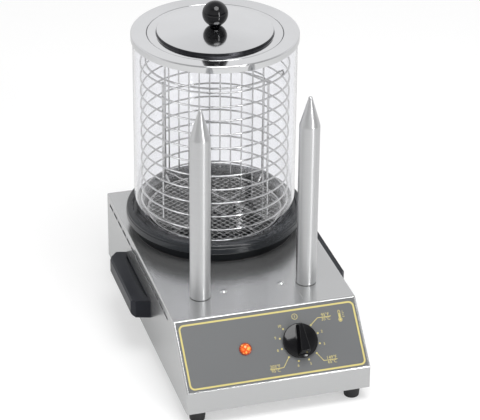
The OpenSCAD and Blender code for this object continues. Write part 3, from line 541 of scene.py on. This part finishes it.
# Bowl: a dark coated casting with a thick rolled rim and a groove round it, a
# ledge for the glass, a lower step for the basket, and a well for the water.
coated = grained("dark_coating", (0.014, 0.017, 0.021), (0.009, 0.011, 0.014), 0.0, 0.20, 0.30,
    (700, 700, 700), 0.000008, Specular_IOR_Level=0.55)
ledge_z, step_z, well_z = 0.1320, 0.1255, 0.0660
underside = ([(0, 0.0635), (0.062, 0.0635)] + bend(0.0653, 0.0775, 0.014, -70, 0, 6)
    + [(0.0793, 0.096), (0.0985, 0.103)])
neck = [(0.0986, 0.1092), (0.1010, 0.1094), (0.1016, 0.1102), (0.1022, 0.1208), (0.1036, 0.1219),
    (0.1088, 0.1224)]
rim_groove = [(0.1105, 0.1300), (0.1104, 0.1306), (0.1096, 0.1311), (0.1095, 0.1316),
    (0.1100, 0.1321)]
rolled_rim = (bend(0.1087, 0.1242, 0.0018, -80, 0, 4) + rim_groove
    + bend(0.1079, 0.1328, 0.0022, 0, 90, 6) + bend(0.1040, 0.1332, 0.0018, 90, 180, 6))
ledge = [(0.1022, 0.1326), (0.1014, ledge_z), (0.0885, ledge_z), (0.0876, 0.1316),
    (0.0874, 0.1308), (0.0874, 0.1262)]
low_step = [(0.0868, step_z), (0.0784, step_z), (0.0772, 0.1248), (0.0768, 0.1236)]
well = bend(0.0648, well_z + 0.012, 0.012, 0, -90, 8) + [(0, well_z)]
bowl_line = underside + neck + rolled_rim + ledge + low_step + well
bowl = piece("coated_bowl", spun(bowl_line, (0, jar_y), 144), coated, "base", ["bowl"])
# the neck and underside below the rim get a rougher finish and a darker colour; the roughness is the
# casting's, the darkness is painted shade for the shadow under the rim
rough_cast_and_shade = grained("rough_casting_and_painted_shade", (0.008, 0.009, 0.011), (0.005, 0.006, 0.007), 0.0, 0.5, 0.7,
    (900, 900, 900), 0.00002, Specular_IOR_Level=0.15)
bowl.data.materials.append(rough_cast_and_shade)
rim_under_z, neck_r = 0.1222, 0.0965
# faces below the rim and outside the neck take the rough finish with its painted shade
for face in bowl.data.polygons:
    reach_out = (face.center.xy - Vector((0, jar_y))).length
    if face.center.z < rim_under_z and reach_out > neck_r:
        face.material_index = 1
dress("bowl_gasket", rubber)


# Glass cylinder: clear blown glass, open at both ends, drawn in at the foot
# that stands on the bowl's ledge, with a ground and rounded upper rim.
clear = bpy.data.materials.new("clear_glass")
clear.use_nodes = True
shader = clear.node_tree.nodes["Principled BSDF"]
shader.inputs["Transmission Weight"].default_value = 1.0
shader.inputs["IOR"].default_value = 1.47
waviness = clear.node_tree.nodes.new("ShaderNodeTexNoise")
waviness.inputs["Scale"].default_value = 14.0
place = clear.node_tree.nodes.new("ShaderNodeTexCoord")
clear.node_tree.links.new(place.outputs["Object"], waviness.inputs["Vector"])
tone = clear.node_tree.nodes.new("ShaderNodeValToRGB")
tone.color_ramp.elements[0].color = (0.908, 0.911, 0.932, 1)
tone.color_ramp.elements[1].color = (0.930, 0.932, 0.950, 1)
clear.node_tree.links.new(waviness.outputs[0], tone.inputs["Fac"])
clear.node_tree.links.new(tone.outputs["Color"], shader.inputs["Base Color"])
gloss = clear.node_tree.nodes.new("ShaderNodeMapRange")
gloss.inputs["To Min"].default_value = 0.0
gloss.inputs["To Max"].default_value = 0.02
clear.node_tree.links.new(waviness.outputs[0], gloss.inputs["Value"])
clear.node_tree.links.new(gloss.outputs[0], shader.inputs["Roughness"])
foot_z, rim_z = 0.1323, 0.3683
glass_r, glass_wall, tuck, tuck_h = 0.100, 0.0028, 0.009, 0.020
outer_foot = [(glass_r - tuck + tuck * math.sin(math.radians(a)),
    foot_z + tuck_h * (1 - math.cos(math.radians(a)))) for a in range(0, 91, 6)]
inner_foot = [(r - glass_wall, z) for r, z in reversed(outer_foot)]
glass_line = ([(0.0895, foot_z - 0.00005)] + outer_foot + [(glass_r, rim_z - glass_wall / 2)]
    + bend(glass_r - glass_wall / 2, rim_z - glass_wall / 2, glass_wall / 2, 15, 165, 8)
    + inner_foot)
piece("glass_cylinder_clear", spun(glass_line, (0, jar_y), 160, closed=True), clear, "glass",
    ["glass_cylinder"])


# Lid: spun and polished stainless, a flat flange with a shallow groove, a step
# and a low dome, a collar that drops inside the glass, and an ivory seal.
# painted shade: a dark metal finish stands in for the shadow in the lid's step wall and in its
# groove
lid_painted_shade = grained("lid_painted_shade", (0.05, 0.05, 0.055), (0.03, 0.03, 0.035), 1.0, 0.25, 0.35,
    (200, 200, 200), 0.0)
lid_polish = grained("lid_polish", (0.72, 0.725, 0.735), (0.69, 0.695, 0.70), 1.0, 0.05, 0.10,
    (30, 30, 30), 0.0)
# the stretches of the outline give heights over the seat on the glass
seat, lid_sheet = 0.3686, 0.0012
dome_r, dome_foot, dome_rise, dome_steps = 0.0690, 0.0049, 0.0053, 14
dome = [(dome_r * i / dome_steps, dome_foot + dome_rise * (1 - (i / dome_steps) ** 1.25))
    for i in range(dome_steps, -1, -1)]
beneath = [(r, z - lid_sheet) for r, z in reversed(dome[1:])] + [
    (0.0684, 0.0034), (0.0694, 0.0030), (0.0703, 0.0001), (0.081, 0.0003), (0.0937, 0.0004)]
drop_collar = [(0.0937, -0.0058), (0.0945, -0.0058), (0.0946, -0.0002)]
turned_edge = [(0.0953, 0), (0.1012, 0), (0.1014, -0.0002), (0.1014, -0.0062), (0.1018, -0.0066),
    (0.1022, -0.0062), (0.1022, 0.0004)] + bend(0.1006, 0.0008, 0.0016, 0, 90, 7)
groove = [(0.1002, 0.00238), (0.0834, 0.0014), (0.0831, 0.0008), (0.0827, 0.0007),
    (0.0823, 0.0008), (0.0820, 0.0013), (0.0812, 0.0013)]
lid_step = [(0.0724, 0.0010), (0.0718, 0.0010), (0.0716, 0.0012), (0.0709, 0.0043),
    (0.0706, 0.0047), (0.0700, 0.0048)]
lid_line = [(r, seat + z) for r, z in beneath + drop_collar + turned_edge + groove + lid_step + dome]
lid = piece("spun_lid", spun(lid_line, (0, jar_y), 160), lid_polish, "lid", ["lid_shell"],
    smooth=0.9)
lid.data.materials.append(lid_painted_shade)
# the faces of the step wall and of the groove take the painted shade
for face in lid.data.polygons:
    reach_out = (face.center.xy - Vector((0, jar_y))).length
    on_step, in_groove = 0.0707 < reach_out < 0.0717, 0.0822 < reach_out < 0.0832
    if face.center.z > seat + 0.0006 and (on_step or in_groove):
        face.material_index = 1
ivory = grained("ivory_silicone", (0.72, 0.70, 0.62), (0.66, 0.64, 0.56), 0.0, 0.3, 0.42,
    (900, 900, 900), 0.00001)
dress("lid_gasket", ivory)


# Ball knob: glossy black moulded ball on a short neck, screwed on from inside
# the lid.
ball_r, ball_z, neck_z = 0.01575, seat + 0.02525, seat + 0.0106
ball_line = ([(0, neck_z), (0.0056, neck_z), (0.0058, neck_z + 0.0006)]
    + bend(0, ball_z, ball_r, -66, 90, 36))
piece("ball_knob", spun(ball_line, (0, jar_y), 72), gloss_black, "lid", ["lid_knob"],
    smooth=1.2)


# Basket: bright plated wire rings welded to four uprights that crook inwards to
# stand in the bowl, with a wire partition across the middle.
bright = grained("bright_wire", (0.62, 0.62, 0.61), (0.54, 0.54, 0.53), 1.0, 0.10, 0.18,
    (500, 500, 500), 0.0)


def draw_wire(shape, path, thick, segments=10, closed=False):
    # a round wire along a path, with a mitred ring at each point and capped ends
    path = [Vector(p) for p in path]
    count = len(path)
    place = []
    for i, here in enumerate(path):
        before = path[i - 1] if closed or i else None
        after = path[(i + 1) % count] if closed or i < count - 1 else None
        first = (here - before).normalized() if before is not None else (after - here).normalized()
        second = (after - here).normalized() if after is not None else first
        place.append((here, (first + second).normalized(), first))
    turn_to = place[0][1].to_track_quat("Z", "Y").to_matrix()
    frames = []
    last = place[0][1]
    for here, along, first in place:
        turn_to = last.rotation_difference(along).to_matrix() @ turn_to
        last = along
        frames.append(Matrix.Translation(here) @ turn_to.to_4x4())
    ring = bmesh.ops.create_circle(shape, cap_ends=False, segments=segments, radius=thick / 2,
        matrix=frames[0])["verts"]
    first_ring = ring
    edges = list({e for v in ring for e in v.link_edges})
    if not closed:
        bmesh.ops.contextual_create(shape, geom=edges)
    for i in range(1, count + (1 if closed else 0)):
        step = frames[i % count] @ frames[i - 1].inverted()
        grown = bmesh.ops.extrude_edge_only(shape, edges=edges)["geom"]
        ring = [g for g in grown if isinstance(g, bmesh.types.BMVert)]
        kept = set(ring)
        edges = [g for g in grown if isinstance(g, bmesh.types.BMEdge) and set(g.verts) <= kept]
        bmesh.ops.transform(shape, matrix=step, verts=ring)
    if closed:
        bmesh.ops.remove_doubles(shape, verts=first_ring + ring, dist=thick / 8)
    else:
        bmesh.ops.contextual_create(shape, geom=edges)


def around(radius, height, start, end, steps):
    return [(x, y, height) for x, y in bend(0, jar_y, radius, start, end, steps)]


ring_top, ring_low, ring_r, ring_count = 0.3322, 0.147, 0.0907, 11
wire, post_wire, frame_wire, grid_wire = 0.0022, 0.0027, 0.0021, 0.0019
rings = bmesh.new()
for i in range(ring_count):
    height = ring_top - i * (ring_top - ring_low) / (ring_count - 1)
    draw_wire(rings, around(ring_r, height, 0, 357.5, 143), wire, 10, closed=True)
bmesh.ops.recalc_face_normals(rings, faces=rings.faces[:])
piece("basket_ring_wires", rings, bright, "basket", ["basket_rings"], smooth=1.2)
posts = bmesh.new()
crook = [(0.0811, 0.1260), (0.0811, 0.1330), (0.0813, 0.1345), (0.0819, 0.1358),
    (0.0872, 0.1422), (0.0879, 0.1435), (0.0881, 0.1450), (0.0881, 0.3330)]
for angle in (-60, 30, 120, 210):
    c, s = math.cos(math.radians(angle)), math.sin(math.radians(angle))
    draw_wire(posts, [(r * c, jar_y + r * s, z) for r, z in crook], post_wire, 12)
bmesh.ops.recalc_face_normals(posts, faces=posts.faces[:])
piece("basket_posts", posts, bright, "basket", ["basket_uprights"], smooth=0.9)
grid = bmesh.new()
c, s = math.cos(math.radians(-60)), math.sin(math.radians(-60))


def across(t, z):
    return (t * c, jar_y + t * s, z)


grid_x, grid_low, grid_top, grid_pitch = 0.081, 0.1465, 0.3392, 0.018
rise = [(grid_x, grid_low), (grid_x, grid_top - 0.003), (grid_x - 0.0008, grid_top - 0.0012),
    (grid_x - 0.0025, grid_top)]
draw_wire(grid, [across(-t, z) for t, z in rise] + [across(t, z) for t, z in reversed(rise)],
    frame_wire, 10)
for i in range(-4, 4):
    t = (i + 0.5) * grid_pitch
    draw_wire(grid, [across(t, grid_low), across(t, grid_top)], grid_wire, 8)
for height in (0.148, ring_top):
    draw_wire(grid, [across(-0.0866, height), across(0.0866, height)], grid_wire, 8)
bmesh.ops.recalc_face_normals(grid, faces=grid.faces[:])
piece("partition_wires", grid, bright, "basket", ["basket_partition"], smooth=0.9)


# Basket floor: fine expanded steel sheet on a wire ring and two crossing wires
# whose ends rest in the bowl.
expanded = grained("expanded_steel", (0.52, 0.52, 0.51), (0.40, 0.40, 0.39), 1.0, 0.2, 0.32,
    (400, 400, 400), 0.0)
sieve = bmesh.new()
cell, floor_r, strand, sieve_z = 0.0072, 0.0822, 0.0015, 0.1294
count = int(2 * floor_r / cell) + 2
bmesh.ops.create_grid(sieve, x_segments=count, y_segments=count, size=count * cell / 2,
    matrix=Matrix.Rotation(math.radians(30), 4, "Z"))
bmesh.ops.delete(sieve, context="FACES", geom=[f for f in sieve.faces
    if f.calc_center_median().length > floor_r + 0.001])
for vert in sieve.verts:
    if vert.co.length > floor_r:
        vert.co *= floor_r / vert.co.length
bmesh.ops.wireframe(sieve, faces=sieve.faces[:], thickness=strand, offset=0.0, use_replace=True,
    use_boundary=True, use_even_offset=False)
bmesh.ops.scale(sieve, vec=(1, 1, 0.55), verts=sieve.verts[:])
bmesh.ops.translate(sieve, vec=(0, jar_y, sieve_z), verts=sieve.verts[:])
bmesh.ops.recalc_face_normals(sieve, faces=sieve.faces[:])
piece("expanded_floor", sieve, expanded, "basket", ["basket_floor"], smooth=0.4)
hoop = bmesh.new()
draw_wire(hoop, around(0.0837, sieve_z, 0, 357.5, 143), wire, 10, closed=True)
bmesh.ops.recalc_face_normals(hoop, faces=hoop.faces[:])
piece("floor_hoop", hoop, bright, "basket", ["basket_floor_ring"], smooth=1.2)
cross = bmesh.new()
for angle in (36, 114):
    c, s = math.cos(math.radians(angle)), math.sin(math.radians(angle))
    draw_wire(cross, [(r * c, jar_y + r * s, 0.12718) for r in (-0.0869, 0.0869)], frame_wire, 10)
bmesh.ops.recalc_face_normals(cross, faces=cross.faces[:])
piece("floor_cross_wires", cross, bright, "basket", ["basket_floor_wires"],
    smooth=0.9)


# Bail: a half hoop of wire that turns in two welded eyes and lies folded down
# on the front of the basket.
bail_z, bail_r, eye_r, hinge = 0.3349, 0.0844, 0.0882, -41
bail = bmesh.new()
ends = around(eye_r, bail_z, hinge, hinge - 180, 1)
draw_wire(bail, [ends[0]] + around(bail_r, bail_z, hinge, hinge - 180, 60) + [ends[1]], 0.0024, 12)
bmesh.ops.recalc_face_normals(bail, faces=bail.faces[:])
piece("bail_wire", bail, bright, "bail", ["basket_bail"], smooth=1.2)
dress("basket_lugs", bright)


# Bun spikes: two turned aluminium tubes with pointed ends, heated from inside,
# screwed down through the top plate on thin rubber seals.
turned = grained("turned_aluminium", (0.66, 0.665, 0.67), (0.63, 0.635, 0.64), 1.0, 0.34, 0.37,
    (20, 20, 900), 0.0, Anisotropic=0.8, Anisotropic_Rotation=0.25)
spike_x, spike_y, spike_r, tip_r = 0.066, -0.0862, 0.0124, 0.0026
for name, x in (("left", -spike_x), ("right", spike_x)):
    low, tip = top_z + 0.0006, top_z + 0.247
    line = ([(0, low), (spike_r - 0.0003, low), (spike_r, low + 0.0004), (spike_r, tip - 0.0372),
        (spike_r - 0.0002, tip - 0.0362), (spike_r - 0.0005, tip - 0.0350), (tip_r, tip - 0.0030)]
        + bend(0, tip - tip_r, tip_r, 12, 90, 8))
    piece("bun_spike_" + name, spun(line, (x, spike_y), 96), turned, "base", ["spike_" + name],
        smooth=0.5)
dress("spike_gaskets", rubber)


# Carrying handles: black moulded grips screwed on from inside, with drawn-in
# ends, a curved finger groove along the wall and a pocket below.
moulded = grained("black_moulding", (0.010, 0.012, 0.018), (0.007, 0.008, 0.013), 0.0, 0.30, 0.42,
    (1600, 1600, 1600), 0.00001, Specular_IOR_Level=0.32)
for name, sign in (("left", -1), ("right", 1)):
    grip = bmesh.new()
    grip.from_mesh(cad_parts["handle_" + name].data)
    bmesh.ops.remove_doubles(grip, verts=grip.verts[:], dist=1e-5)
    bmesh.ops.dissolve_limit(grip, angle_limit=math.radians(1.5), verts=grip.verts[:],
        edges=grip.edges[:])
    outer = [e for e in grip.edges if e.is_manifold and e.calc_face_angle(0) > math.radians(18)
        and min(abs(v.co.x) for v in e.verts) > half_w + 0.0008]
    bmesh.ops.bevel(grip, geom=outer, offset=0.0009, offset_type="OFFSET", segments=3, profile=0.5,
        affect="EDGES", material=-1, clamp_overlap=True)
    piece("moulded_handle_" + name, grip, moulded, "base", ["handle_" + name],
        smooth=0.6)


# Inside: heater, thermostat, terminals and leads under the top plate, seen
# only when the base plate is off.
steel_dark = grained("element_steel", (0.20, 0.20, 0.21), (0.12, 0.11, 0.11), 1.0, 0.3, 0.5,
    (300, 300, 300), 0.00001)
ceramic = grained("white_ceramic", (0.80, 0.79, 0.75), (0.74, 0.73, 0.69), 0.0, 0.2, 0.32,
    (600, 600, 600), 0.00001)
for name in ("heating_element", "spike_heater_left", "spike_heater_right"):
    dress(name, steel_dark)
for name in ("thermostat_body", "lamp_body", "terminal_block"):
    dress(name, ceramic)
for name in ("lamp_nut", "safety_cutout", "cable_gland", "gland_nut"):
    dress(name, moulded)
dress("heat_spreader", grained("cast_aluminium", (0.58, 0.58, 0.58), (0.5, 0.5, 0.5), 1.0,
    0.35, 0.5, (500, 500, 500), 0.00002))
dress("thermostat_bush", grained("turned_brass", (0.62, 0.42, 0.14), (0.54, 0.36, 0.12), 1.0,
    0.2, 0.3, (900, 900, 900), 0.00001))
copper = grained("drawn_copper", (0.72, 0.34, 0.20), (0.60, 0.27, 0.16), 1.0, 0.22, 0.35,
    (500, 500, 500), 0.00001)
for name in ("thermostat_capillary", "thermostat_bulb"):
    dress(name, copper)
dress("wiring", grained("woven_sleeve", (0.55, 0.50, 0.42), (0.42, 0.38, 0.31), 0.0, 0.7, 0.85,
    (1100, 1100, 1100), 0.00005))
